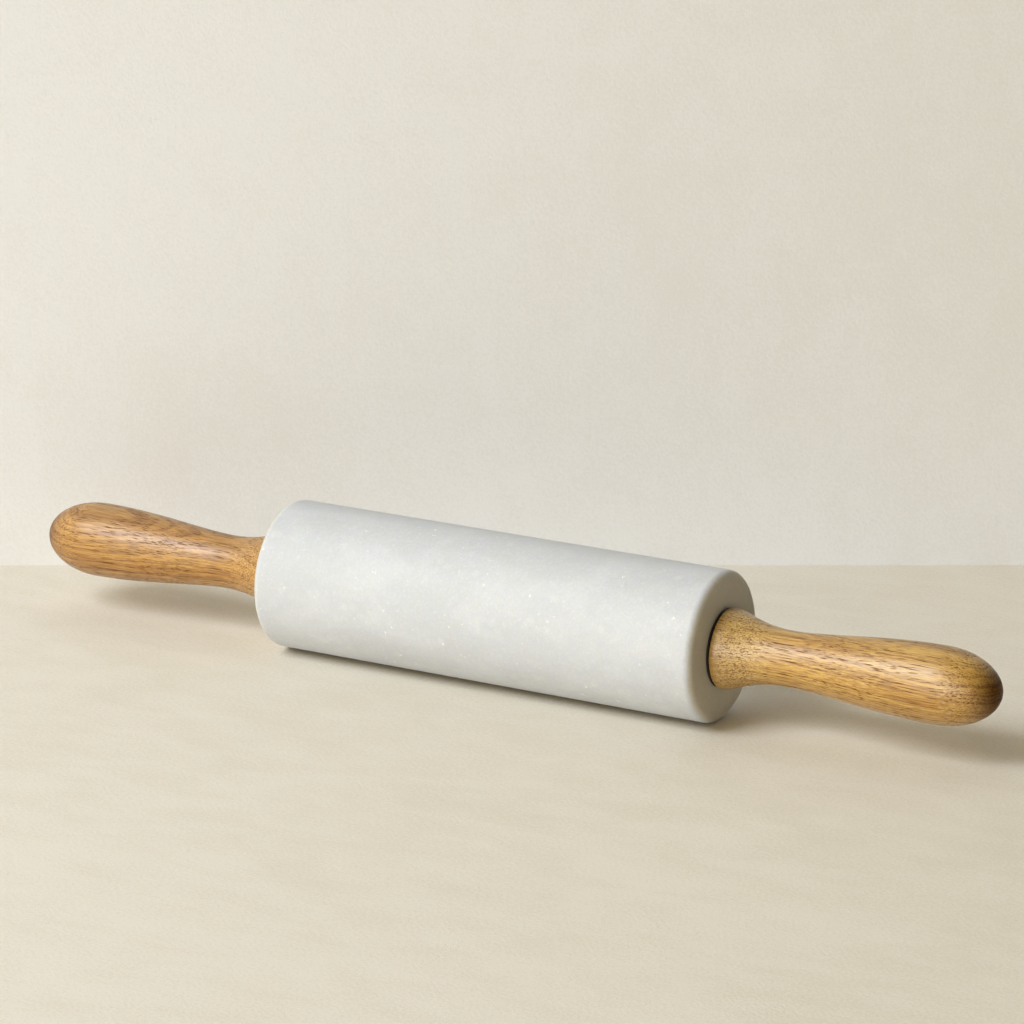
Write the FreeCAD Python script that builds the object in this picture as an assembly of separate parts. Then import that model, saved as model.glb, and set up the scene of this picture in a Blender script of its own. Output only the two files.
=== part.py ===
"""Marble rolling pin with two turned oak handles on a through axle, in millimetres.

The pin lies along X with its axis at Z = 0, and the origin is the middle of the barrel.
A steel axle runs through the marble barrel. The handles are screwed on its ends, so axle
and handles are one rigid frame, and the barrel spins round it on two sealed ball bearings.
Every part of one end is modelled at the +X end and turned half a turn about Z for the other.
"""

import FreeCAD, Part

import math
import os

from FreeCAD import Vector

OUT_FOLDER = "parts"

# Barrel
BARREL_LENGTH = 196.0
BARREL_RADIUS = 30.0
RIM_RADIUS = 3.2  # rounding between the barrel's side and its end faces
AXLE_BORE_RADIUS = 8.0  # wide enough for a retaining ring to pass on assembly

# Ball bearing, the common 8 x 22 x 7 mm size
BEARING_BORE_RADIUS = 4.0
BEARING_OUTER_RADIUS = 11.0
BEARING_WIDTH = 7.0
BALL_COUNT = 7
BALL_RADIUS = 1.984
BALL_CLEARANCE = 0.016  # between a ball and the bottom of each raceway
PITCH_RADIUS = 7.5
INNER_LAND_RADIUS = 6.05
OUTER_LAND_RADIUS = 8.75
RING_CHAMFER = 0.3
SHIELD_SEAT_RADIUS = 9.4
SHIELD_INSET = 0.3  # of the shield's outer face from the ring's end face
SHIELD_THICKNESS = 0.35
SHIELD_BORE_RADIUS = 6.3
CAGE_INNER_RADIUS = 6.5
CAGE_OUTER_RADIUS = 8.4
CAGE_BACK = 2.55  # from the ball centres to the closed side of the crown
CAGE_FRONT = 1.2  # from the ball centres to the tips between the pockets
POCKET_CLEARANCE = 0.08

# Flanged nylon cup that holds a bearing in the end of the marble
CUP_RADIUS = 13.0
CUP_FLOOR = 1.6
FLANGE_RADIUS = 15.5
FLANGE_THICKNESS = 0.6
FLANGE_EASE = 0.25
BEARING_RECESS = 1.0  # of the bearing's outer face below the marble's end face

# Axle and what clamps it
THREAD_LENGTH = 21.0
THREAD_PITCH = 1.25
THREAD_DEPTH = 0.6
THREAD_CHAMFER = 0.8
GROOVE_RADIUS = 3.8
GROOVE_WIDTH = 0.9
CLIP_THICKNESS = 0.8
CLIP_OUTER_RADIUS = 5.6
CLIP_MOUTH_DEGREES = 44.0
CLIP_LUG_RADIUS = 1.35
CLIP_LUG_HOLE_RADIUS = 0.5
SPACER_BORE_RADIUS = 4.05
SPACER_RADIUS = 5.8
INSERT_RADIUS = 6.0
INSERT_LENGTH = 24.0
INSERT_BARB_PITCH = 2.4
INSERT_BARB_DEPTH = 0.4
INSERT_PLAIN_END = 1.2

# Handle, measured along its own axis from the face next to the barrel
HANDLE_GAP = 0.2  # running gap between the cup's flange and the handle's face
HANDLE_LENGTH = 115.0
BASE_RADIUS = 16.0
BASE_LIP = 1.3  # rounding of the base edge
FLARE_LEAD = 5.5  # how long the flare keeps to the base's radius before it draws in
FLARE_NECK_LEAD = 16.5  # how long it then runs level into the neck
NECK_POSITION = 28.0
NECK_RADIUS = 10.9
GRIP_NECK_LEAD = 14.0  # how long the grip stays level as it leaves the neck
GRIP_BULB_LEAD = 26.0  # and as it reaches its thickest
BULB_POSITION = 90.5
BULB_RADIUS = 15.2
HANDLE_BORE_SPARE = 0.5  # left beyond the insert for glue
DRILL_POINT_DEPTH = 3.4

HALF_BARREL = BARREL_LENGTH / 2
BEARING_OUT = HALF_BARREL - BEARING_RECESS
BEARING_IN = BEARING_OUT - BEARING_WIDTH
BEARING_CENTRE = (BEARING_OUT + BEARING_IN) / 2
CUP_IN = BEARING_IN - CUP_FLOOR
FLANGE_OUT = HALF_BARREL + FLANGE_THICKNESS
HANDLE_FACE = FLANGE_OUT + HANDLE_GAP
AXLE_END = HANDLE_FACE + THREAD_LENGTH
RACEWAY_RADIUS = BALL_RADIUS + BALL_CLEARANCE

X_AXIS = Vector(1, 0, 0)
Z_AXIS = Vector(0, 0, 1)
CENTRE = Vector(0, 0, 0)


def point(x, radius):
    """A point of a profile in the XZ plane: place along the axis and distance from it."""
    return Vector(x, 0, radius)


def lathe(edges):
    """The solid of revolution about X of a closed outline in the XZ plane."""
    face = Part.Face(Part.Wire(Part.__sortEdges__(edges)))
    return face.revolve(CENTRE, X_AXIS, 360)


def lines(points):
    """Straight edges through the points, in order."""
    return [Part.makeLine(a, b) for a, b in zip(points, points[1:])]


def turned(outline):
    """The solid of revolution of a closed polygon given as (x, radius) pairs."""
    points = [point(x, radius) for x, radius in outline]
    return lathe(lines(points + points[:1]))


def tube(x_start, x_end, inner_radius, outer_radius):
    """A plain ring about X."""
    return turned(
        [(x_start, inner_radius), (x_end, inner_radius), (x_end, outer_radius), (x_start, outer_radius)]
    )


def quarter_round(centre, radius, start_degrees):
    """A quarter circle in the XZ plane, anticlockwise from start_degrees, with X as 0 degrees."""
    at = [math.radians(start_degrees + turn) for turn in (0, 45, 90)]
    ends = [centre + Vector(radius * math.cos(a), 0, radius * math.sin(a)) for a in at]
    return Part.Arc(*ends).toShape()


def other_end(shape):
    """The same part at the -X end."""
    turned_copy = shape.copy()
    turned_copy.rotate(CENTRE, Z_AXIS, 180)
    return turned_copy


def make_barrel():
    """The marble barrel, with rounded rims, a bore for the axle and a seat for each cup."""
    straight = HALF_BARREL - RIM_RADIUS
    rim_height = BARREL_RADIUS - RIM_RADIUS
    outline = [
        *lines([point(-straight, BARREL_RADIUS), point(straight, BARREL_RADIUS)]),
        quarter_round(point(straight, rim_height), RIM_RADIUS, 0),
        *lines(
            [
                point(HALF_BARREL, rim_height),
                point(HALF_BARREL, CUP_RADIUS),
                point(CUP_IN, CUP_RADIUS),
                point(CUP_IN, AXLE_BORE_RADIUS),
                point(-CUP_IN, AXLE_BORE_RADIUS),
                point(-CUP_IN, CUP_RADIUS),
                point(-HALF_BARREL, CUP_RADIUS),
                point(-HALF_BARREL, rim_height),
            ]
        ),
        quarter_round(point(-straight, rim_height), RIM_RADIUS, 90),
    ]
    return lathe(outline)


def make_bearing_cup():
    """The flanged cup: a sleeve with a floor for the bearing and a flange on the marble."""
    return turned(
        [
            (CUP_IN, AXLE_BORE_RADIUS),
            (CUP_IN, CUP_RADIUS),
            (HALF_BARREL, CUP_RADIUS),
            (HALF_BARREL, FLANGE_RADIUS),
            (FLANGE_OUT - FLANGE_EASE, FLANGE_RADIUS),
            (FLANGE_OUT, FLANGE_RADIUS - FLANGE_EASE),
            (FLANGE_OUT, BEARING_OUTER_RADIUS),
            (BEARING_IN, BEARING_OUTER_RADIUS),
            (BEARING_IN, AXLE_BORE_RADIUS),
        ]
    )


def raceway():
    """The ring-shaped space the balls run in, cut from both bearing rings."""
    return Part.makeTorus(
        PITCH_RADIUS, RACEWAY_RADIUS, Vector(BEARING_CENTRE, 0, 0), X_AXIS
    )


def make_inner_ring():
    """The inner ring, which grips the axle."""
    ring = turned(
        [
            (BEARING_IN + RING_CHAMFER, BEARING_BORE_RADIUS),
            (BEARING_OUT - RING_CHAMFER, BEARING_BORE_RADIUS),
            (BEARING_OUT, BEARING_BORE_RADIUS + RING_CHAMFER),
            (BEARING_OUT, INNER_LAND_RADIUS),
            (BEARING_IN, INNER_LAND_RADIUS),
            (BEARING_IN, BEARING_BORE_RADIUS + RING_CHAMFER),
        ]
    )
    return ring.cut(raceway())


def make_outer_ring():
    """The outer ring, with a step at each end that seats a shield."""
    step = SHIELD_INSET + SHIELD_THICKNESS
    ring = turned(
        [
            (BEARING_IN, SHIELD_SEAT_RADIUS),
            (BEARING_IN + step, SHIELD_SEAT_RADIUS),
            (BEARING_IN + step, OUTER_LAND_RADIUS),
            (BEARING_OUT - step, OUTER_LAND_RADIUS),
            (BEARING_OUT - step, SHIELD_SEAT_RADIUS),
            (BEARING_OUT, SHIELD_SEAT_RADIUS),
            (BEARING_OUT, BEARING_OUTER_RADIUS - RING_CHAMFER),
            (BEARING_OUT - RING_CHAMFER, BEARING_OUTER_RADIUS),
            (BEARING_IN + RING_CHAMFER, BEARING_OUTER_RADIUS),
            (BEARING_IN, BEARING_OUTER_RADIUS - RING_CHAMFER),
        ]
    )
    return ring.cut(raceway())


def make_shields():
    """The two thin steel shields of one bearing."""
    inboard = tube(
        BEARING_IN + SHIELD_INSET,
        BEARING_IN + SHIELD_INSET + SHIELD_THICKNESS,
        SHIELD_BORE_RADIUS,
        SHIELD_SEAT_RADIUS,
    )
    outboard = tube(
        BEARING_OUT - SHIELD_INSET - SHIELD_THICKNESS,
        BEARING_OUT - SHIELD_INSET,
        SHIELD_BORE_RADIUS,
        SHIELD_SEAT_RADIUS,
    )
    return Part.makeCompound([inboard, outboard])


def ball_centres():
    """Where the balls sit, evenly spaced on the pitch circle."""
    for i in range(BALL_COUNT):
        angle = 2 * math.pi * i / BALL_COUNT
        yield Vector(
            BEARING_CENTRE, PITCH_RADIUS * math.cos(angle), PITCH_RADIUS * math.sin(angle)
        )


def make_balls():
    """The balls of one bearing, as separate solids."""
    return Part.makeCompound([Part.makeSphere(BALL_RADIUS, centre) for centre in ball_centres()])


def make_cage():
    """A nylon crown cage: a ring with a snap-in pocket for each ball."""
    cage = tube(
        BEARING_CENTRE - CAGE_FRONT,
        BEARING_CENTRE + CAGE_BACK,
        CAGE_INNER_RADIUS,
        CAGE_OUTER_RADIUS,
    )
    for centre in ball_centres():
        cage = cage.cut(Part.makeSphere(BALL_RADIUS + POCKET_CLEARANCE, centre))
    return cage


def axle_half_outline():
    """(x, radius) points of the axle's surface from its middle to the +X end."""
    outline = [
        (BEARING_IN - GROOVE_WIDTH, BEARING_BORE_RADIUS),
        (BEARING_IN - GROOVE_WIDTH, GROOVE_RADIUS),
        (BEARING_IN, GROOVE_RADIUS),
        (BEARING_IN, BEARING_BORE_RADIUS),
    ]
    crest = HANDLE_FACE + THREAD_PITCH
    while crest + THREAD_PITCH < AXLE_END - THREAD_CHAMFER:
        root = crest + THREAD_PITCH / 2
        outline += [(crest, BEARING_BORE_RADIUS), (root, BEARING_BORE_RADIUS - THREAD_DEPTH)]
        crest += THREAD_PITCH
    outline += [
        (crest, BEARING_BORE_RADIUS),
        (AXLE_END - THREAD_CHAMFER, BEARING_BORE_RADIUS),
        (AXLE_END, BEARING_BORE_RADIUS - THREAD_CHAMFER),
        (AXLE_END, 0),
    ]
    return outline


def make_axle():
    """The axle: a plain rod with a retaining-ring groove and a threaded length at each end."""
    right = axle_half_outline()
    left = [(-x, radius) for x, radius in reversed(right)]
    return turned(left + right)


def make_retaining_ring():
    """An open spring ring with two lugs, seated in the axle's groove against the bearing."""
    start = BEARING_IN - CLIP_THICKNESS
    half_mouth = math.radians(CLIP_MOUTH_DEGREES / 2)
    ring = tube(start, BEARING_IN, GROOVE_RADIUS, CLIP_OUTER_RADIUS)

    def at(radius, angle):
        return Vector(start, radius * math.sin(angle), radius * math.cos(angle))

    beyond = 2 * CLIP_OUTER_RADIUS
    mouth = Part.makePolygon(
        [at(0, 0), at(beyond, -half_mouth), at(beyond, half_mouth), at(0, 0)]
    )
    ring = ring.cut(Part.Face(mouth).extrude(Vector(CLIP_THICKNESS, 0, 0)))
    lug_angle = half_mouth + math.asin(CLIP_LUG_RADIUS / CLIP_OUTER_RADIUS)
    for angle in (-lug_angle, lug_angle):
        lug = at(CLIP_OUTER_RADIUS, angle)
        ring = ring.fuse(Part.makeCylinder(CLIP_LUG_RADIUS, CLIP_THICKNESS, lug, X_AXIS))
        ring = ring.cut(Part.makeCylinder(CLIP_LUG_HOLE_RADIUS, CLIP_THICKNESS, lug, X_AXIS))
    return ring


def make_spacer():
    """The steel spacer clamped between the bearing's inner ring and the handle's insert."""
    return tube(BEARING_OUT, HANDLE_FACE, SPACER_BORE_RADIUS, SPACER_RADIUS)


def make_insert():
    """The brass insert glued in the handle: a tapped bore and ridges round the outside."""
    end = HANDLE_FACE + INSERT_LENGTH
    outline = [
        (HANDLE_FACE, BEARING_BORE_RADIUS),
        (HANDLE_FACE, INSERT_RADIUS),
        (HANDLE_FACE + INSERT_PLAIN_END, INSERT_RADIUS),
    ]
    crest = HANDLE_FACE + INSERT_PLAIN_END
    while crest + INSERT_BARB_PITCH < end - INSERT_PLAIN_END:
        outline += [
            (crest, INSERT_RADIUS - INSERT_BARB_DEPTH),
            (crest + INSERT_BARB_PITCH, INSERT_RADIUS),
        ]
        crest += INSERT_BARB_PITCH
    outline += [(end, INSERT_RADIUS), (end, BEARING_BORE_RADIUS)]
    return turned(outline)


def bezier(*poles):
    """The smooth edge drawn by four poles."""
    curve = Part.BezierCurve()
    curve.setPoles(list(poles))
    return curve.toShape()


def make_handle():
    """The oak handle: rounded base, flare into a neck, a grip that swells, a domed end."""

    def at(x, radius):
        return point(HANDLE_FACE + x, radius)

    dome = Part.Ellipse(at(HANDLE_LENGTH, 0), at(BULB_POSITION, BULB_RADIUS), at(BULB_POSITION, 0))
    dome_arc = Part.ArcOfEllipse(dome, 0, math.pi / 2).toShape()
    bore_end = INSERT_LENGTH + HANDLE_BORE_SPARE
    outline = [
        quarter_round(at(BASE_LIP, BASE_RADIUS - BASE_LIP), BASE_LIP, 90),
        bezier(
            at(BASE_LIP, BASE_RADIUS),
            at(BASE_LIP + FLARE_LEAD, BASE_RADIUS),
            at(NECK_POSITION - FLARE_NECK_LEAD, NECK_RADIUS),
            at(NECK_POSITION, NECK_RADIUS),
        ),
        bezier(
            at(NECK_POSITION, NECK_RADIUS),
            at(NECK_POSITION + GRIP_NECK_LEAD, NECK_RADIUS),
            at(BULB_POSITION - GRIP_BULB_LEAD, BULB_RADIUS),
            at(BULB_POSITION, BULB_RADIUS),
        ),
        dome_arc,
        *lines(
            [
                at(HANDLE_LENGTH, 0),
                at(bore_end + DRILL_POINT_DEPTH, 0),
                at(bore_end, INSERT_RADIUS),
                at(0, INSERT_RADIUS),
                at(0, BASE_RADIUS - BASE_LIP),
            ]
        ),
    ]
    return lathe(outline)


def save(name, shape):
    """Writes one node: a single solid, or a group of separate solids."""
    solids = shape.Solids
    for solid in solids:
        if not solid.isValid() or solid.Volume <= 0:
            raise ValueError(f"{name} has a bad solid")
    whole = solids[0] if len(solids) == 1 else Part.makeCompound(solids)
    whole.exportStep(os.path.join(OUT_FOLDER, name + ".step"))


END_PARTS = {
    "handle": make_handle,
    "handle_insert": make_insert,
    "axle_spacer": make_spacer,
    "retaining_ring": make_retaining_ring,
    "bearing_cup": make_bearing_cup,
    "bearing_inner_ring": make_inner_ring,
    "bearing_outer_ring": make_outer_ring,
    "bearing_shields": make_shields,
    "bearing_balls": make_balls,
    "bearing_cage": make_cage,
}


def main():
    os.makedirs(OUT_FOLDER, exist_ok=True)
    save("barrel", make_barrel())
    save("axle_rod", make_axle())
    for name, make in END_PARTS.items():
        shape = make()
        save("right_" + name, shape)
        save("left_" + name, other_end(shape))


main()
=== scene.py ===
"""Looks for the marble rolling pin: honed white marble, varnished oak handles, black nylon
cups, and the steel, brass and nylon pieces inside.

The barrel and the two handles are rebuilt as fine lathed meshes on the CAD's own outline,
and the oak's open pores are sunk into the handles. Every other piece is the CAD piece with a
material of its own. Lengths are in metres, and the materials work in millimetres.
"""

import math

import bpy
import numpy as np
from mathutils import Matrix, Vector


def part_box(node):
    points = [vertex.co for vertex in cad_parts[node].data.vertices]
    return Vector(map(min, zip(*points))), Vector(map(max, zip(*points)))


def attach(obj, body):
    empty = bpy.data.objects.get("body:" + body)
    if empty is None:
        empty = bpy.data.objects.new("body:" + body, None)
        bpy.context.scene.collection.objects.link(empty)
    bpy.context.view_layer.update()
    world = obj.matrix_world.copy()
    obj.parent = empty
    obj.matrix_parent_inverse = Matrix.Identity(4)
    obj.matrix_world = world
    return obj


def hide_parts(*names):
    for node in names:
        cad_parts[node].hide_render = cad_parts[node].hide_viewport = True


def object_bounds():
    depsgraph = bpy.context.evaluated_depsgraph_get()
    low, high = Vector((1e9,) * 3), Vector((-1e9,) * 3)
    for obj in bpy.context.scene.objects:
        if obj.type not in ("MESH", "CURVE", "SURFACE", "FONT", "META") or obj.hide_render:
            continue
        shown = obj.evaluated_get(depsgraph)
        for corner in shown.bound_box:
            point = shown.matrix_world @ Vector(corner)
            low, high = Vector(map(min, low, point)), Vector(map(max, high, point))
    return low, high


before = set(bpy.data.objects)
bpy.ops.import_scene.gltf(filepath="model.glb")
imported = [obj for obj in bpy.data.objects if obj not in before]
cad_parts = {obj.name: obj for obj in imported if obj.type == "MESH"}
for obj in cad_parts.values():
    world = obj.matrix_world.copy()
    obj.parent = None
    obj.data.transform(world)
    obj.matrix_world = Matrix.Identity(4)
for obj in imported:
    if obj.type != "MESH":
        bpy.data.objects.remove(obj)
cad_low, cad_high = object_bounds()

MM = 0.001
SAME_PLACE = 1e-6  # places in the CAD mesh that are closer than this are one place
DOUBLED_POINT = 1e-7  # points of an outline that are closer than this are one point
PLACE_DECIMALS = 7  # in metres, for places along a handle

# Fineness of the lathed meshes
BARREL_SEGMENTS = 384
BARREL_ROW = 2.0 * MM
RIM_STEPS = 14
HANDLE_SEGMENTS = 520
HANDLE_ROW = 0.72 * MM
BARREL_BORE_ROW = 6.0 * MM
HANDLE_BORE_ROW = 25.0 * MM
SHARP_ANGLE = math.radians(40)

# Marble. A fleck's spacing, size and raggedness are in millimetres, and share is the part of
# the cells that hold one. Grains and crystals are counted per millimetre.
MILKY_FLECK = {"spacing": 5.0, "size": 2.4, "share": 0.5}
# The large and small flecks are white crystals, whitened further as painted glints.
LARGE_FLECK_AND_GLINT = {"spacing": 4.0, "size": 0.7, "share": 0.30}
SMALL_FLECK_AND_GLINT = {"spacing": 2.2, "size": 0.42, "share": 0.06}
FLECK_RAGGEDNESS = 3.0
GRAINS_PER_MM = 1.1
CRYSTALS_PER_MM = 0.8
CRYSTAL_TILT = 0.07  # how far a crystal's facet leans, as a part of the surface normal
SUBSURFACE_SPREAD = (1.0, 0.76, 0.42)  # red light goes deepest into the stone
SUBSURFACE_DEPTH = 2.5 * MM

# Oak pores: the cell that holds one, in millimetres, how many of the cells hold one in late
# wood, and how many more in early wood
LONG_PORE = (18.0, 0.48, 0.48)
LONG_PORE_SHARE = 0.16
LONG_PORE_EARLY_SHARE = 0.70
SHORT_PORE = (8.0, 0.38, 0.38)
SHORT_PORE_SHARE = 0.22
SHORT_PORE_EARLY_SHARE = 0.50
SHORT_PORE_STRENGTH = 0.75
PORE_DEPTH = 0.07 * MM

# Oak rings, in millimetres. The tree's pith is below and beside the first handle, and the
# steps are how much further it is from the second.
RING_SPACING = 1.9
RING_WANDER = 7.0
RING_UNEVENNESS = 5.0
PITH_BELOW = 62.0
PITH_BELOW_STEP = 9.0
PITH_BESIDE = 14.0
PITH_BESIDE_STEP = -30.0
PITH_LEAN = 0.10  # how little a place along the grain counts in its distance from the pith

# Other oak features: how many there are per millimetre, along the grain and across it
WIDE_BANDS = (0.012, 0.16, 0.16)
STREAKS = (0.03, 1.6, 1.6)
HAIRS = (0.06, 2.8, 2.8)
WANDER = (0.014, 0.06, 0.06)
SWAY = (0.03, 0.12, 0.12)
GRAIN_SWAY = 3.0  # millimetres to and fro
FLARE_LENGTH = 34.0  # millimetres of the handle on which the open grain shows

# How far apart in the pattern the two handles are, and the short pores from the long ones
GRAIN_STEP = (57.0, 11.0, 0.0)
RING_STEP = (57.0, 0.0, 0.0)
FIBRE_STEP = (91.0, 17.0, 5.0)
SHORT_PORE_STEP = (41.0, 3.3, 7.1)

# Camera: angles in degrees, distance and aim in barrel radii, lens and sensor in millimetres
CAMERA_AZIMUTH = 28.9
CAMERA_ELEVATION = 17.1
CAMERA_DISTANCE = 61.3
CAMERA_AIM_RIGHT = 0.132
CAMERA_AIM_UP = 1.277
CAMERA_LENS = 163.4
CAMERA_SENSOR = 36.0
CAMERA_NEAR = 0.1
CAMERA_FAR = 50.0

# Stage
WALL_BEHIND = 0.1506  # from the middle of the barrel
STAGE_HALF_WIDTH = 4.0
WALL_HEIGHT = 3.0

# Lamps: power in watts, width and height, and place as right, forward and up in the main view
KEY_POWER = 29.0
KEY_SIZE = (0.9, 0.9)
KEY_PLACE = (-1.25, -0.75, 1.35)
BACK_POWER = 6.0
BACK_SIZE = (1.2, 0.6)
BACK_PLACE = (0.3, 1.5, -0.6)
WALL_POWER = 45.0
WALL_SIZE = (0.5, 0.5)
WALL_PLACE = (-1.3, -2.2, 0.3)
FILL_POWER = 17.0
FILL_SIZE = (1.4, 0.6)
FILL_PLACE = (0.15, -1.75, 0.35)  # as x, y and z
LAMP_COLOUR = (0.86, 0.93, 1.0)
FILL_COLOUR = (1.0, 0.97, 0.91)
WORLD_STRENGTH = 1.70
WORLD_COLOUR = (1.0, 0.78, 0.36, 1.0)
BACKDROP_COLOUR = (0.80, 0.77, 0.70, 1.0)


# ---------------------------------------------------------------- node helpers


class Graph:
    """Adds and wires nodes, so that a material reads as a list of steps."""

    def __init__(self, tree):
        self.tree = tree

    def add(self, kind, inputs=None, **settings):
        """A new node with its inputs fed and its settings set."""
        node = self.tree.nodes.new(kind)
        for name, value in settings.items():
            setattr(node, name, value)
        for name, value in (inputs or {}).items():
            self.feed(node.inputs[name], value)
        return node

    def feed(self, socket, value):
        """Links a socket to an output, or sets its value."""
        if isinstance(value, bpy.types.NodeSocket):
            self.tree.links.new(value, socket)
        else:
            socket.default_value = value

    def math(self, operation, *values):
        node = self.add("ShaderNodeMath", operation=operation)
        for socket, value in zip(node.inputs, values):
            self.feed(socket, value)
        return node.outputs[0]

    def vector(self, operation, *values):
        node = self.add("ShaderNodeVectorMath", operation=operation)
        for socket, value in zip(node.inputs, values):
            self.feed(socket, value)
        return node.outputs["Value" if operation in ("LENGTH", "DOT_PRODUCT") else "Vector"]

    def range(self, value, low, high, to_low=0.0, to_high=1.0):
        """A smooth step from to_low to to_high as the value goes from low to high."""
        inputs = {0: value, 1: low, 2: high, 3: to_low, 4: to_high}
        return self.add("ShaderNodeMapRange", inputs, interpolation_type="SMOOTHSTEP").outputs[0]

    def noise(self, vector, scale, detail=2.0, roughness=0.5, distortion=0.0):
        inputs = {"Vector": vector, "Scale": scale, "Detail": detail}
        inputs.update({"Roughness": roughness, "Distortion": distortion})
        return self.add("ShaderNodeTexNoise", inputs).outputs[0]

    def cells(self, vector, scale):
        return self.add("ShaderNodeTexVoronoi", {"Vector": vector, "Scale": scale})

    def blend(self, amount, first, second, kind="MIX"):
        """The first colour at 0 and the second at 1."""
        node = self.add("ShaderNodeMix", data_type="RGBA", blend_type=kind)
        self.feed(node.inputs[0], amount)
        self.feed(node.inputs[6], first)
        self.feed(node.inputs[7], second)
        return node.outputs[2]

    def shade(self, colour, mask, amount, other, kind="MIX"):
        """The colour, blended with another by that amount where the mask is 1."""
        return self.blend(self.math("MULTIPLY", mask, amount), colour, other, kind)

    def bump(self, height, strength, distance, normal=None):
        """The surface's normal, tilted by the slope of the height."""
        inputs = {"Height": height, "Strength": strength, "Distance": distance}
        if normal is not None:
            inputs["Normal"] = normal
        return self.add("ShaderNodeBump", inputs).outputs[0]


# ---------------------------------------------------------------- colours


def srgb(red, green, blue):
    """A display colour, 0 to 255, as the linear colour that nodes use."""
    def linear(value):
        share = value / 255
        return share / 12.92 if share <= 0.04045 else ((share + 0.055) / 1.055) ** 2.4

    return (linear(red), linear(green), linear(blue), 1.0)


MARBLE_WHITE = srgb(192, 196, 203)
MARBLE_GREY = srgb(186, 190, 197)
MARBLE_DARK_GREY = srgb(178, 180, 180)
# Also the colour of the painted glints on the flecks.
MARBLE_FLECK_AND_GLINT = srgb(238, 238, 235)
MARBLE_END_WARM_LIGHT = (1.0, 0.90, 0.68, 1.0)  # for the warm light that falls on an end face

OAK_PALE = srgb(219, 184, 118)
OAK_LIGHT = srgb(198, 156, 78)
OAK_MID = srgb(180, 133, 54)
OAK_DEEP = srgb(122, 78, 18)
OAK_PORE = srgb(88, 48, 8)
# The tips' colour: darker end grain, deepened with painted shade.
OAK_END_GRAIN_AND_SHADE = srgb(98, 68, 20)

# The two handles are of slightly different wood, the left one darker and redder
RIGHT_TINT = (0.95, 0.97, 0.93, 1.0)
LEFT_TINT = (0.79, 0.69, 0.51, 1.0)

# How strongly each feature colours the stone or the wood, from 0 to 1
CRYSTAL_SHADE = 0.12
BRIGHT_GRAIN_SHADE = 0.16
DARK_GRAIN_SHADE = 0.20
MILKY_SHADE = 0.09
FLECK_AND_GLINT_SHADE = 0.7
PALE_STREAK_SHADE = 0.60
DEEP_STREAK_SHADE = 0.78
EARLY_WOOD_SHADE = 0.45
HAIR_SHADE = 0.55
OPEN_GRAIN_PALE_AND_LIGHT = 0.45
END_GRAIN_AND_TIP_SHADE = 0.85
RIGHT_PORE_SHADE = 0.88
LEFT_PORE_SHADE = 0.64

AXLE_STEEL = (0.56, 0.56, 0.57, 1.0)
SPRING_STEEL = (0.09, 0.09, 0.10, 1.0)
BEARING_STEEL = (0.66, 0.66, 0.68, 1.0)
BALL_STEEL = (0.70, 0.70, 0.72, 1.0)
SHIELD_STEEL = (0.47, 0.47, 0.48, 1.0)
INSERT_BRASS = (0.74, 0.52, 0.22, 1.0)
CUP_NYLON = srgb(20, 18, 16)
CAGE_NYLON = srgb(214, 205, 180)

FLOOR_COLOUR = srgb(230, 225, 216)
FLOOR_MOTTLE = srgb(222, 216, 204)
WALL_COLOUR = srgb(231, 229, 227)
WALL_MOTTLE = srgb(227, 224, 220)


def new_material(name):
    """A node material, its graph and its Principled node."""
    material = bpy.data.materials.new(name)
    material.use_nodes = True
    graph = Graph(material.node_tree)
    surface = next(n for n in material.node_tree.nodes if n.type == "BSDF_PRINCIPLED")
    return material, graph, surface


def object_millimetres(g):
    """The point being shaded, in the object's own frame, in millimetres."""
    place = g.add("ShaderNodeTexCoord").outputs["Object"]
    return g.vector("MULTIPLY", place, (1 / MM,) * 3)


def facing_along_axle(g):
    """How far the surface faces along X: 0 on a cylinder's side and 1 on its end."""
    normal = g.add("ShaderNodeTexCoord").outputs["Normal"]
    return g.math("ABSOLUTE", g.vector("DOT_PRODUCT", normal, (1.0, 0.0, 0.0)))


# ---------------------------------------------------------------- marble


def marble_flecks(g, place, spacing, size, share):
    """Ragged flecks, about twice size across, in that share of cells spacing wide."""
    cells = g.cells(place, 1 / spacing)
    chance = g.vector("DOT_PRODUCT", cells.outputs["Color"], (0.0, 1.0, 0.0))
    reach = size / spacing
    core = g.range(cells.outputs["Distance"], 0.3 * reach, reach, 1.0, 0.0)
    return g.math("MULTIPLY", core, g.math("LESS_THAN", chance, share))


def marble_fleck_masks(g, place):
    """Where the bright flecks are, white crystals whose colour is also a painted glint, and where
    the faint milky patches are, both in clusters.
    """
    ragged = g.add("ShaderNodeTexNoise", {"Vector": place, "Scale": GRAINS_PER_MM, "Detail": 4.0})
    shifted = g.vector("MULTIPLY_ADD", ragged.outputs["Color"], (FLECK_RAGGEDNESS,) * 3, place)
    clusters = g.range(g.noise(place, 0.075, 2.0), 0.46, 0.60)
    milky = g.math("MULTIPLY", marble_flecks(g, shifted, **MILKY_FLECK), clusters)
    large = g.math("MULTIPLY", marble_flecks(g, shifted, **LARGE_FLECK_AND_GLINT), clusters)
    fleck_and_glint = g.math("MAXIMUM", large, marble_flecks(g, shifted, **SMALL_FLECK_AND_GLINT))
    return fleck_and_glint, milky


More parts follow.
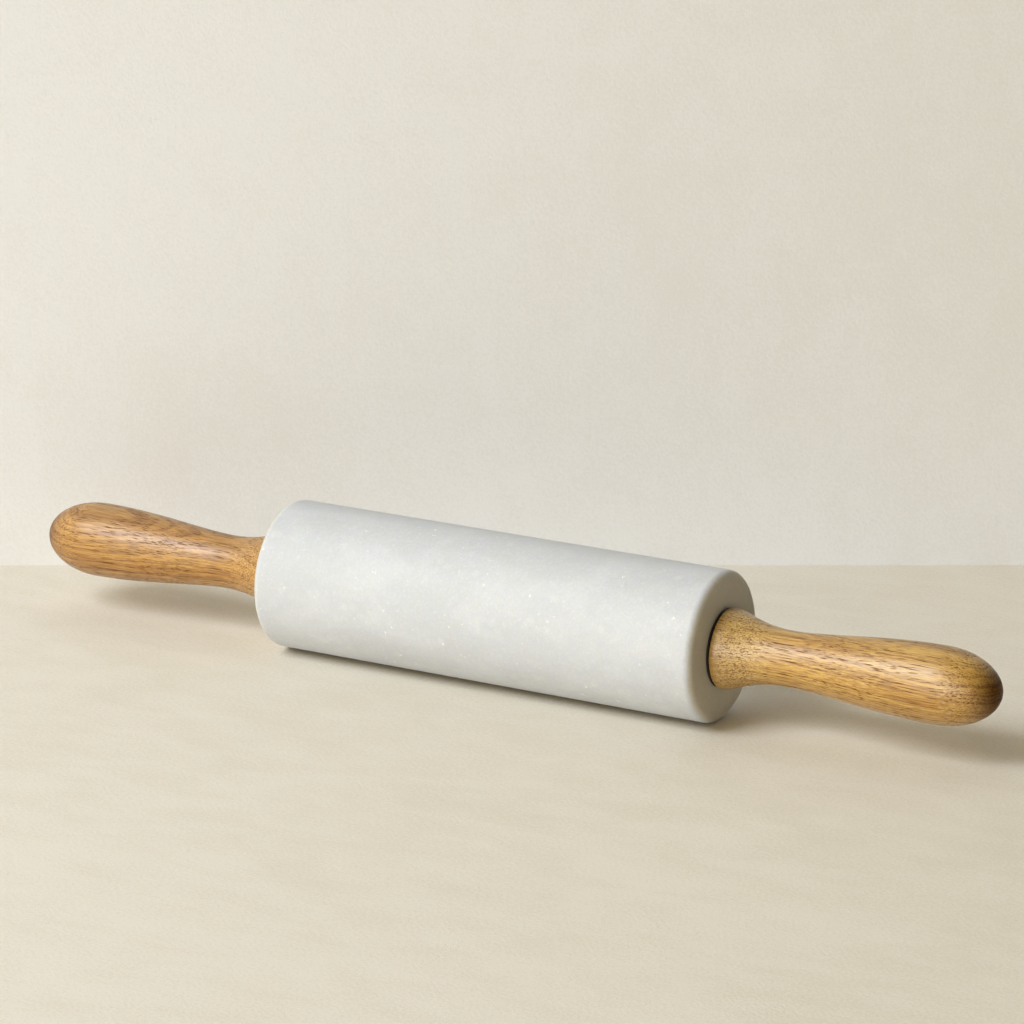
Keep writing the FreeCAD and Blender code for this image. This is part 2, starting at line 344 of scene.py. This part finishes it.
def marble_colour(g, place, fine, crystals, fleck_and_glint, milky):
    """Faint grey clouds, a grain of crystals, and white flecks, whitened further as painted
    glints. The end faces get painted warm light.
    """
    clouds = g.noise(g.vector("MULTIPLY", place, (0.6, 1.0, 1.0)), 0.06, 4.0, 0.6, 0.5)
    tone = g.vector("DOT_PRODUCT", crystals, (1.0, 0.0, 0.0))
    bright = g.range(fine, 0.5, 0.72)
    dark = g.range(fine, 0.3, 0.45, 1.0, 0.0)
    end_face = g.range(facing_along_axle(g), 0.35, 1.0)
    colour = g.blend(g.range(clouds, 0.36, 0.66), MARBLE_GREY, MARBLE_WHITE)
    colour = g.shade(colour, tone, CRYSTAL_SHADE, MARBLE_DARK_GREY)
    colour = g.shade(colour, bright, BRIGHT_GRAIN_SHADE, MARBLE_FLECK_AND_GLINT)
    colour = g.shade(colour, dark, DARK_GRAIN_SHADE, MARBLE_DARK_GREY)
    colour = g.shade(colour, milky, MILKY_SHADE, MARBLE_FLECK_AND_GLINT)
    # The flecks are white crystals, whitened further as painted glints.
    colour = g.shade(colour, fleck_and_glint, FLECK_AND_GLINT_SHADE, MARBLE_FLECK_AND_GLINT)
    # Painted warm light on the end faces, for the warm light that falls on them.
    return g.blend(end_face, colour, MARBLE_END_WARM_LIGHT, "MULTIPLY")


def marble_material():
    """Honed white marble that light goes a little way into, with shinier flecks."""
    material, g, surface = new_material("marble_honed")
    place = object_millimetres(g)
    fine = g.noise(place, GRAINS_PER_MM, 3.0, 0.65)
    crystals = g.cells(place, CRYSTALS_PER_MM).outputs["Color"]
    fleck_and_glint, milky = marble_fleck_masks(g, place)
    roughness = g.math("MULTIPLY_ADD", fine, 0.16, 0.48)
    roughness = g.math("MULTIPLY_ADD", fleck_and_glint, -0.25, roughness)
    facing = g.add("ShaderNodeNewGeometry").outputs["Normal"]
    tilt = g.vector("MULTIPLY_ADD", crystals, (CRYSTAL_TILT,) * 3, (-CRYSTAL_TILT / 2,) * 3)
    facet = g.vector("NORMALIZE", g.vector("ADD", facing, tilt))
    g.feed(surface.inputs["Normal"], g.bump(fine, 0.15, 0.04 * MM, facet))
    g.feed(surface.inputs["Base Color"], marble_colour(g, place, fine, crystals, fleck_and_glint, milky))
    g.feed(surface.inputs["Roughness"], roughness)
    surface.inputs["Specular IOR Level"].default_value = 0.3
    surface.inputs["Subsurface Weight"].default_value = 0.6
    surface.inputs["Subsurface Radius"].default_value = SUBSURFACE_SPREAD
    surface.inputs["Subsurface Scale"].default_value = SUBSURFACE_DEPTH
    return material


# ---------------------------------------------------------------- oak


def oak_pores(g, place, size, often):
    """Open pores as long spindles along X, 1 at a pore's middle and 0 outside.

    size is one pore's cell, and often is the share of the cells that hold a pore.
    """
    cells = g.cells(g.vector("DIVIDE", place, size), 1.0)
    chance = g.vector("DOT_PRODUCT", cells.outputs["Color"], (1.0, 0.0, 0.0))
    spindle = g.range(cells.outputs["Distance"], 0.24, 0.42, 1.0, 0.0)
    present = g.range(g.math("SUBTRACT", often, chance), 0.0, 0.08)
    return g.math("MULTIPLY", spindle, present)


def stepped(g, place, seed, step):
    """The place moved by one step for each seed, so that the two handles differ."""
    return g.vector("ADD", place, tuple(seed * part for part in step))


def oak_rings(g, place, seed):
    """Where a point is in its growth ring, from 0 at the early wood to 1 at the late wood.

    The pith is well below the handle, so the rings show as lines along its sides.
    """
    moved = stepped(g, place, seed, RING_STEP)
    wander = g.noise(g.vector("MULTIPLY", moved, WANDER), 1.0, 3.0)
    push = g.math("MULTIPLY_ADD", wander, RING_WANDER, -RING_WANDER / 2)
    beside = PITH_BESIDE + PITH_BESIDE_STEP * seed
    below = PITH_BELOW + PITH_BELOW_STEP * seed
    from_pith = g.vector("ADD", place, (0.0, beside, below))
    from_pith = g.vector("MULTIPLY", from_pith, (PITH_LEAN, 1.0, 1.0))
    distance = g.math("ADD", g.vector("LENGTH", from_pith), push)
    uneven = g.add("ShaderNodeTexNoise", {"W": distance, "Scale": 0.22}, noise_dimensions="1D")
    distance = g.math("MULTIPLY_ADD", uneven.outputs[0], RING_UNEVENNESS, distance)
    return g.math("FRACT", g.math("DIVIDE", distance, RING_SPACING))


def oak_grain(g, place, seed):
    """The grain at a point in millimetres: how much it is pore, and how much early wood.

    The grain runs along X. The same steps serve the material and the mesh, so that the
    pores that are seen are the pores that are cut.
    """
    rings = oak_rings(g, place, seed)
    early = g.math("MULTIPLY", g.range(rings, 0.0, 0.12), g.range(rings, 0.22, 0.55, 1.0, 0.0))
    moved = stepped(g, place, seed, GRAIN_STEP)
    bend = g.noise(g.vector("MULTIPLY", moved, SWAY), 1.0, 1.0)
    sway = g.vector("SCALE", (0.0, 1.0, 1.0))
    g.feed(sway.node.inputs["Scale"], g.math("MULTIPLY_ADD", bend, GRAIN_SWAY, -GRAIN_SWAY / 2))
    moved = g.vector("ADD", moved, sway)
    often = g.math("MULTIPLY_ADD", early, LONG_PORE_EARLY_SHARE, LONG_PORE_SHARE)
    long_pores = oak_pores(g, moved, LONG_PORE, often)
    often = g.math("MULTIPLY_ADD", early, SHORT_PORE_EARLY_SHARE, SHORT_PORE_SHARE)
    moved = g.vector("ADD", moved, SHORT_PORE_STEP)
    short_pores = g.math("MULTIPLY", oak_pores(g, moved, SHORT_PORE, often), SHORT_PORE_STRENGTH)
    return g.math("MAXIMUM", long_pores, short_pores), early


def oak_fibres(g, fibres, early, streaks, hairs):
    """The wood's colour before its pores: wide bands, streaks, early wood and dark hairs."""
    bands = g.noise(g.vector("MULTIPLY", fibres, WIDE_BANDS), 1.0, 3.0, 0.55)
    pale_streaks = g.range(streaks, 0.32, 0.50, 1.0, 0.0)
    deep_streaks = g.range(streaks, 0.50, 0.64)
    colour = g.blend(g.range(bands, 0.36, 0.64), OAK_LIGHT, OAK_MID)
    colour = g.shade(colour, pale_streaks, PALE_STREAK_SHADE, OAK_PALE)
    colour = g.shade(colour, deep_streaks, DEEP_STREAK_SHADE, OAK_DEEP)
    colour = g.shade(colour, early, EARLY_WOOD_SHADE, OAK_DEEP)
    return g.shade(colour, g.range(hairs, 0.50, 0.66), HAIR_SHADE, OAK_DEEP)


def oak_open_grain(g, colour, place, along):
    """The colour with dark specks, which are thickest where the flare cuts across the grain, and
    paler there: partly the paler cut grain, partly painted light on the shade beside the barrel's
    end.
    """
    speckle = g.noise(g.vector("MULTIPLY", place, (0.6, 1.0, 1.0)), 1.9, 2.0, 0.7)
    from_middle = g.math("ABSOLUTE", g.vector("DOT_PRODUCT", place, (1.0, 0.0, 0.0)))
    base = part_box("right_handle")[0].x / MM
    flare = g.range(from_middle, base + FLARE_LENGTH * 0.7, base + FLARE_LENGTH, 1.0, 0.0)
    open_grain_and_painted_light = g.math("MULTIPLY", g.range(along, 0.0, 0.28), flare)
    speckled = g.math("MULTIPLY_ADD", open_grain_and_painted_light, 0.72, 0.12)
    # Paler on the flare: partly the paler cut grain, partly painted light on the shade beside the
    # barrel's end.
    colour = g.shade(colour, open_grain_and_painted_light, OPEN_GRAIN_PALE_AND_LIGHT, OAK_PALE)
    return g.shade(colour, g.range(speckle, 0.48, 0.60), speckled, OAK_DEEP)


def oak_material(name, seed, tint, pore_shade):
    """Varnished oak: fibres, open pores, and a darker tip, partly darker end grain and partly
    painted shade.

    The varnish is thin over a pore and over the end grain, so both are duller.
    """
    material, g, surface = new_material(name)
    place = object_millimetres(g)
    pore, early = oak_grain(g, place, seed)
    fibres = stepped(g, place, seed, FIBRE_STEP)
    streaks = g.noise(g.vector("MULTIPLY", fibres, STREAKS), 1.0, 5.0, 0.7)
    hairs = g.noise(g.vector("MULTIPLY", fibres, HAIRS), 1.0, 2.0, 0.6)
    along = facing_along_axle(g)
    end_grain_and_shade = g.range(along, 0.30, 0.92)
    dull = g.math("MAXIMUM", g.range(pore, 0.0, 0.4, 0.0, 0.75), end_grain_and_shade)

    colour = oak_fibres(g, fibres, early, streaks, hairs)
    colour = oak_open_grain(g, colour, place, along)
    colour = g.shade(colour, pore, pore_shade, OAK_PORE)
    # Darker tips: partly the end grain's own colour, partly painted shade.
    colour = g.shade(colour, end_grain_and_shade, END_GRAIN_AND_TIP_SHADE, OAK_END_GRAIN_AND_SHADE, "MULTIPLY")
    colour = g.blend(1.0, colour, tint, "MULTIPLY")
    roughness = g.math("MULTIPLY_ADD", pore, 0.25, 0.40)
    roughness = g.math("MULTIPLY_ADD", streaks, 0.12, roughness)
    height = g.math("MULTIPLY_ADD", pore, -1.0, g.math("MULTIPLY", hairs, 0.3))
    g.feed(surface.inputs["Normal"], g.bump(height, 0.3, PORE_DEPTH))
    g.feed(surface.inputs["Base Color"], colour)
    g.feed(surface.inputs["Roughness"], roughness)
    g.feed(surface.inputs["Specular IOR Level"], g.math("MULTIPLY_ADD", dull, -0.55, 0.65))
    g.feed(surface.inputs["Coat Weight"], g.math("MULTIPLY_ADD", dull, -0.95, 1.0))
    surface.inputs["Coat Roughness"].default_value = 0.43
    return material


def cut_pores(piece, seed):
    """Sinks the mesh of an oak piece where its grain has a pore."""
    tree = bpy.data.node_groups.new(piece.name + "_pores", "GeometryNodeTree")
    tree.interface.new_socket("Geometry", in_out="INPUT", socket_type="NodeSocketGeometry")
    tree.interface.new_socket("Geometry", in_out="OUTPUT", socket_type="NodeSocketGeometry")
    g = Graph(tree)
    place = g.vector("MULTIPLY", g.add("GeometryNodeInputPosition").outputs[0], (1 / MM,) * 3)
    pore, _ = oak_grain(g, place, seed)
    depth = g.vector("SCALE", g.add("GeometryNodeInputNormal").outputs[0])
    g.feed(depth.node.inputs["Scale"], g.math("MULTIPLY", pore, -PORE_DEPTH))
    start = g.add("NodeGroupInput")
    end = g.add("NodeGroupOutput")
    sink = g.add("GeometryNodeSetPosition", {"Geometry": start.outputs[0], "Offset": depth})
    g.feed(end.inputs[0], sink.outputs[0])
    piece.modifiers.new("pores", "NODES").node_group = tree


# ---------------------------------------------------------------- plastic and metal


def nylon_material(name, colour, roughness):
    """Moulded nylon with a faint mottle and a fine moulded texture."""
    material, g, surface = new_material(name)
    place = object_millimetres(g)
    mottle = g.noise(place, 0.6, 3.0)
    fine = g.noise(place, 9.0, 2.0)
    darker = tuple(channel * 0.7 for channel in colour[:3]) + (1.0,)
    g.feed(surface.inputs["Base Color"], g.blend(g.range(mottle, 0.35, 0.7), colour, darker))
    g.feed(surface.inputs["Roughness"], g.math("MULTIPLY_ADD", fine, 0.15, roughness))
    g.feed(surface.inputs["Normal"], g.bump(fine, 0.2, 0.02 * MM))
    return material


def metal_material(name, colour, roughness, turned=True):
    """Bare metal. A turned piece has fine rings round the axle from its tool."""
    material, g, surface = new_material(name)
    place = object_millimetres(g)
    parts = g.add("ShaderNodeSeparateXYZ", {0: place})
    across = g.vector("LENGTH", g.vector("MULTIPLY", place, (0.0, 1.0, 1.0)))
    rings = g.add("ShaderNodeCombineXYZ", {0: parts.outputs["X"], 1: across})
    lines = g.noise(rings.outputs[0] if turned else place, 7.0, 4.0, 0.7)
    smudge = g.noise(place, 0.35, 3.0)
    darker = tuple(channel * 0.78 for channel in colour[:3]) + (1.0,)
    g.feed(surface.inputs["Base Color"], g.blend(g.range(smudge, 0.3, 0.7), colour, darker))
    g.feed(surface.inputs["Roughness"], g.math("MULTIPLY_ADD", lines, 0.18, roughness))
    g.feed(surface.inputs["Normal"], g.bump(lines, 0.25, 0.01 * MM))
    surface.inputs["Metallic"].default_value = 1.0
    return material


# ---------------------------------------------------------------- lathed meshes


def arc(centre_x, centre_r, radius, start, end, steps):
    """Points of an arc in the (x, radius) plane, angles in degrees with X as 0."""
    angles = [math.radians(start + (end - start) * i / steps) for i in range(steps + 1)]
    return [(centre_x + radius * math.cos(a), centre_r + radius * math.sin(a)) for a in angles]


def stretch(start, end, step):
    """Evenly spaced points from start to end, about step apart."""
    count = max(1, round(math.dist(start, end) / step))
    return [tuple(a + (b - a) * i / count for a, b in zip(start, end)) for i in range(count + 1)]


def joined(*runs):
    """Runs of points as one outline, without the doubled points where they meet."""
    outline = []
    for run in runs:
        for place in run:
            if not outline or math.dist(place, outline[-1]) > DOUBLED_POINT:
                outline.append(place)
    return outline


def ring_quads(count, segments, closed):
    """The quads between neighbouring rings of points, and from last to first if closed."""
    row = np.arange(count if closed else count - 1)[:, None]
    here = np.arange(segments)[None, :]
    after_row = (row + 1) % count
    after = (here + 1) % segments
    corners = [
        row * segments + here,
        row * segments + after,
        after_row * segments + after,
        after_row * segments + here,
    ]
    return np.stack(corners, axis=-1).reshape(-1, 4).tolist()


def tip_triangles(count, segments):
    """The triangles from the first and last rings to the two tips, numbered after the rings."""
    first_tip = count * segments
    last_tip = first_tip + 1
    last_ring = (count - 1) * segments
    faces = []
    for here in range(segments):
        after = (here + 1) % segments
        faces.append((after, here, first_tip))
        faces.append((last_ring + here, last_ring + after, last_tip))
    return faces


def lathe(name, outline, segments, closed):
    """A smooth mesh turned about X. A closed outline is a ring; an open one ends on the axis."""
    turns = 2 * np.pi * np.arange(segments) / segments
    body = outline if closed else outline[1:-1]
    points = [(x, r * math.cos(t), r * math.sin(t)) for x, r in body for t in turns]
    faces = ring_quads(len(body), segments, closed)
    if not closed:
        points += [(outline[0][0], 0.0, 0.0), (outline[-1][0], 0.0, 0.0)]
        faces += tip_triangles(len(body), segments)
    mesh = bpy.data.meshes.new(name)
    mesh.from_pydata(points, [], faces)
    mesh.validate()
    mesh.shade_smooth()
    mesh.set_sharp_from_angle(angle=SHARP_ANGLE)
    piece = bpy.data.objects.new(name, mesh)
    bpy.context.scene.collection.objects.link(piece)
    return piece


def cad_points(node):
    """The vertices of a CAD node as (x, distance from the axle)."""
    places = np.array([v.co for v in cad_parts[node].data.vertices])
    return np.column_stack([places[:, 0], np.hypot(places[:, 1], places[:, 2])])


def make_barrel():
    """The barrel: its side, two rounded rims, two faces, the cups' seats and the axle's bore.

    Its radii are read from the CAD piece. The outline starts at the left end of the side.
    """
    _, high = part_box("barrel")
    half, radius = high.x, high.z
    points = cad_points("barrel")
    on_face = points[points[:, 0] > half - SAME_PLACE, 1]
    face_radius = on_face.max()
    rim = radius - face_radius
    seat_radius = on_face.min()
    bore_radius = points[:, 1].min()
    seat_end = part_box("right_bearing_cup")[0].x
    outline = joined(
        stretch((-half + rim, radius), (half - rim, radius), BARREL_ROW),
        arc(half - rim, face_radius, rim, 90, 0, RIM_STEPS),
        stretch((half, face_radius), (half, seat_radius), BARREL_ROW),
        stretch((half, seat_radius), (seat_end, seat_radius), BARREL_ROW),
        stretch((seat_end, seat_radius), (seat_end, bore_radius), BARREL_ROW),
        stretch((seat_end, bore_radius), (-seat_end, bore_radius), BARREL_BORE_ROW),
        stretch((-seat_end, bore_radius), (-seat_end, seat_radius), BARREL_ROW),
        stretch((-seat_end, seat_radius), (-half, seat_radius), BARREL_ROW),
        stretch((-half, seat_radius), (-half, face_radius), BARREL_ROW),
        arc(-half + rim, face_radius, rim, 180, 90, RIM_STEPS)[:-1],
    )
    piece = lathe("marble_barrel", outline, BARREL_SEGMENTS, closed=True)
    piece.data.materials.append(marble_material())
    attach(piece, "barrel")
    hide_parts("barrel")


def evenly_spaced(places, radii, spacing):
    """The curve through these points, as points about spacing apart along it."""
    along = np.concatenate([[0], np.cumsum(np.hypot(np.diff(places), np.diff(radii)))])
    even = np.linspace(0, along[-1], round(along[-1] / spacing))
    return list(zip(np.interp(even, along, places), np.interp(even, along, radii)))


def handle_outline(node, insert_radius):
    """A handle's outside from base to tip, and the x of its base, bore end and drill point.

    Either handle is read as if it were the right one, with x counted away from the barrel.
    """
    points = cad_points(node)
    points[:, 0] = np.abs(points[:, 0])
    points = points[np.argsort(points[:, 0])]
    base, tip = points[0, 0], points[-1, 0]
    bored = points[points[:, 1] <= insert_radius + SAME_PLACE]
    bored = bored[bored[:, 0] < (base + tip) / 2]
    bore_end = bored[bored[:, 1] > insert_radius - SAME_PLACE, 0].max()
    drill_point = bored[:, 0].max()
    beyond_bore = points[:, 0] > drill_point + SAME_PLACE
    outside = points[(points[:, 1] > insert_radius + SAME_PLACE) | beyond_bore]
    places = np.unique(outside[:, 0].round(PLACE_DECIMALS))
    radii = [outside[np.abs(outside[:, 0] - x) < DOUBLED_POINT, 1].max() for x in places]
    return evenly_spaced(places, np.array(radii), HANDLE_ROW), base, bore_end, drill_point


def make_handle(side, seed, tint, pore_shade):
    """One oak handle, with its blind bore for the insert. The seed picks its piece of wood."""
    node = side + "_handle"
    insert_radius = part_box(side + "_handle_insert")[1].z
    outer, base, bore_end, drill_point = handle_outline(node, insert_radius)
    face_radius = outer[0][1]
    outline = joined(
        [(drill_point, 0.0)],
        stretch((bore_end, insert_radius), (base, insert_radius), HANDLE_BORE_ROW),
        stretch((base, insert_radius), (base, face_radius), HANDLE_ROW),
        outer,
    )
    outline[-1] = (outline[-1][0], 0.0)
    piece = lathe(side + "_oak_handle", outline, HANDLE_SEGMENTS, closed=False)
    if side == "left":
        piece.data.transform(Matrix.Rotation(math.pi, 4, "Z"))
    piece.data.materials.append(oak_material(side + "_oak", seed, tint, pore_shade))
    cut_pores(piece, seed)
    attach(piece, "axle")
    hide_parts(node)


# ---------------------------------------------------------------- CAD pieces


def dress(material, *names):
    """Gives CAD nodes of both ends, or the node of that name, a material."""
    for name in names:
        for node in (name, "right_" + name, "left_" + name):
            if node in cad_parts:
                mesh_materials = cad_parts[node].data.materials
                mesh_materials.clear()
                mesh_materials.append(material)


def dress_cad_pieces():
    """Gives the axle, the bearings and what holds them their metals and nylons."""
    steel = metal_material("axle_steel", AXLE_STEEL, roughness=0.24)
    dress(steel, "axle_rod", "axle_spacer")
    spring = metal_material("spring_steel", SPRING_STEEL, roughness=0.34, turned=False)
    dress(spring, "retaining_ring")
    ground = metal_material("bearing_steel", BEARING_STEEL, roughness=0.12)
    dress(ground, "bearing_inner_ring", "bearing_outer_ring")
    polished = metal_material("ball_steel", BALL_STEEL, roughness=0.04, turned=False)
    dress(polished, "bearing_balls")
    dress(metal_material("shield_steel", SHIELD_STEEL, roughness=0.30), "bearing_shields")
    dress(metal_material("insert_brass", INSERT_BRASS, roughness=0.26), "handle_insert")
    dress(nylon_material("cup_nylon", CUP_NYLON, roughness=0.55), "bearing_cup")
    dress(nylon_material("cage_nylon", CAGE_NYLON, roughness=0.38), "bearing_cage")


# ---------------------------------------------------------------- stage, light, camera


def view_directions():
    """The camera's level forward, its right, and the direction from the object back to it."""
    azimuth, elevation = math.radians(CAMERA_AZIMUTH), math.radians(CAMERA_ELEVATION)
    forward = Vector((-math.sin(azimuth), math.cos(azimuth), 0))
    right = Vector((math.cos(azimuth), math.sin(azimuth), 0))
    back = -forward * math.cos(elevation) + Vector((0, 0, math.sin(elevation)))
    return forward, right, back


def hide_back(g, surface):
    """Makes a material clear to a camera that looks at its back."""
    seen = g.add("ShaderNodeLightPath").outputs["Is Camera Ray"]
    behind = g.add("ShaderNodeNewGeometry").outputs["Backfacing"]
    hide = g.math("MULTIPLY", seen, behind)
    clear = g.add("ShaderNodeBsdfTransparent").outputs[0]
    mix = g.add("ShaderNodeMixShader", {0: hide, 1: surface.outputs[0], 2: clear})
    output = next(n for n in g.tree.nodes if n.type == "OUTPUT_MATERIAL")
    g.feed(output.inputs["Surface"], mix.outputs[0])


def plaster_material(name, colour, darker, one_sided=False):
    """Pale matt plaster, mottled and sandy. One-sided, it can't be seen from behind."""
    material, g, surface = new_material(name)
    place = g.add("ShaderNodeTexCoord").outputs["Object"]
    clouds = g.noise(place, 5.0, 5.0, 0.6, 0.3)
    patches = g.noise(g.vector("MULTIPLY", place, (1.0, 2.2, 1.0)), 30.0, 4.0, 0.6, 0.4)
    fine = g.noise(place, 700.0, 3.0, 0.7)
    tone = g.math("ADD", g.math("MULTIPLY", clouds, 0.5), g.math("MULTIPLY", patches, 0.5))
    tone = g.math("MULTIPLY_ADD", fine, 0.9, g.math("SUBTRACT", tone, 0.45))
    g.feed(surface.inputs["Base Color"], g.blend(g.range(tone, 0.35, 0.7), colour, darker))
    g.feed(surface.inputs["Normal"], g.bump(fine, 0.45, 0.3 * MM))
    surface.inputs["Roughness"].default_value = 0.8
    surface.inputs["Specular IOR Level"].default_value = 0.2
    if one_sided:
        hide_back(g, surface)
    return material


def flat_sheet(name, corners, material):
    """One flat face with a material, marked as part of the stage."""
    mesh = bpy.data.meshes.new(name)
    mesh.from_pydata([tuple(c) for c in corners], [], [(0, 1, 2, 3)])
    mesh.materials.append(material)
    sheet = bpy.data.objects.new(name, mesh)
    bpy.context.scene.collection.objects.link(sheet)
    return sheet


def make_stage():
    """The floor under the barrel and the wall behind it."""
    forward, right, _ = view_directions()
    ground = Vector((0, 0, cad_low.z))
    wide = right * STAGE_HALF_WIDTH
    deep = forward * STAGE_HALF_WIDTH
    floor = flat_sheet(
        "floor",
        [ground - wide - deep, ground + wide - deep, ground + wide + deep, ground - wide + deep],
        plaster_material("floor_plaster", FLOOR_COLOUR, FLOOR_MOTTLE),
    )
    foot = ground + forward * WALL_BEHIND
    up = Vector((0, 0, WALL_HEIGHT))
    wall = flat_sheet(
        "wall",
        [foot - wide, foot + wide, foot + wide + up, foot - wide + up],
        plaster_material("wall_plaster", WALL_COLOUR, WALL_MOTTLE, one_sided=True),
    )
    return floor, wall


def light_group(name, pieces):
    """A collection of pieces, for a light that only they receive or block."""
    group = bpy.data.collections.new(name)
    for piece in pieces:
        group.objects.link(piece)
    return group


def in_main_view(place):
    """The place that is so far right, forward and up in the main view."""
    forward, right, _ = view_directions()
    return right * place[0] + forward * place[1] + Vector((0, 0, 1)) * place[2]


def soft_light(name, place, size, power, colour, lit, blockers=None):
    """A soft box aimed at the middle of the barrel.

    It lights the lit pieces only, and the blockers, or else everything, cast its shadows.
    """
    data = bpy.data.lights.new(name, "AREA")
    data.shape = "RECTANGLE"
    data.size, data.size_y = size
    data.energy = power
    data.color = colour
    lamp = bpy.data.objects.new(name, data)
    lamp.location = place
    lamp.rotation_mode = "QUATERNION"
    lamp.rotation_quaternion = (-place).to_track_quat("-Z", "Y")
    lamp.light_linking.receiver_collection = lit
    lamp.light_linking.blocker_collection = blockers
    bpy.context.scene.collection.objects.link(lamp)


def make_lights(floor, wall):
    """A key from the upper left, weak fills on the object's front and back, and a wall light."""
    stage = (floor, wall)
    pieces = [o for o in bpy.context.scene.objects if o.type == "MESH" and o not in stage]
    all_but_wall = light_group("all_but_wall", pieces + [floor])
    object_only = light_group("object_only", pieces)
    wall_only = light_group("wall_only", [wall])
    key_place = in_main_view(KEY_PLACE)
    back_place = in_main_view(BACK_PLACE)
    wall_place = in_main_view(WALL_PLACE)
    soft_light("key", key_place, KEY_SIZE, KEY_POWER, LAMP_COLOUR, all_but_wall, all_but_wall)
    soft_light("fill", Vector(FILL_PLACE), FILL_SIZE, FILL_POWER, FILL_COLOUR, object_only)
    soft_light("back", back_place, BACK_SIZE, BACK_POWER, FILL_COLOUR, object_only, object_only)
    soft_light("wall_light", wall_place, WALL_SIZE, WALL_POWER, LAMP_COLOUR, wall_only, wall_only)


def make_world():
    """Warm light from the left, and a plain pale backdrop where the camera sees past the floor."""
    _, right, _ = view_directions()
    world = bpy.data.worlds.new("studio")
    world.use_nodes = True
    g = Graph(world.node_tree)
    direction = g.add("ShaderNodeTexCoord").outputs["Generated"]
    leftward = g.vector("DOT_PRODUCT", direction, -right)
    strength = g.math("MULTIPLY", g.math("MAXIMUM", leftward, 0.0), WORLD_STRENGTH)
    glow = g.add("ShaderNodeBackground", {"Color": WORLD_COLOUR, "Strength": strength})
    backdrop = g.add("ShaderNodeBackground", {"Color": BACKDROP_COLOUR})
    seen = g.add("ShaderNodeLightPath").outputs["Is Camera Ray"]
    mix = g.add("ShaderNodeMixShader", {0: seen, 1: glow.outputs[0], 2: backdrop.outputs[0]})
    output = next(n for n in g.tree.nodes if n.type == "OUTPUT_WORLD")
    g.feed(output.inputs["Surface"], mix.outputs[0])
    bpy.context.scene.world = world


def make_camera():
    """The main view's camera, placed and aimed in barrel radii from the barrel's middle."""
    _, right, back = view_directions()
    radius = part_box("barrel")[1].z
    upward = right.cross(-back)
    aim = right * (CAMERA_AIM_RIGHT * radius) + upward * (CAMERA_AIM_UP * radius)
    data = bpy.data.cameras.new("camera")
    data.sensor_width = CAMERA_SENSOR
    data.lens = CAMERA_LENS
    data.clip_start, data.clip_end = CAMERA_NEAR, CAMERA_FAR
    camera = bpy.data.objects.new("camera", data)
    camera.location = aim + back * (CAMERA_DISTANCE * radius)
    camera.rotation_mode = "QUATERNION"
    camera.rotation_quaternion = (-back).to_track_quat("-Z", "Y")
    bpy.context.scene.collection.objects.link(camera)
    bpy.context.scene.camera = camera
    bpy.context.scene.view_settings.view_transform = "Standard"


make_barrel()
make_handle("right", 0.0, RIGHT_TINT, RIGHT_PORE_SHADE)
make_handle("left", 1.0, LEFT_TINT, LEFT_PORE_SHADE)
dress_cad_pieces()
floor_sheet, wall_sheet = make_stage()
make_lights(floor_sheet, wall_sheet)
make_world()
make_camera()
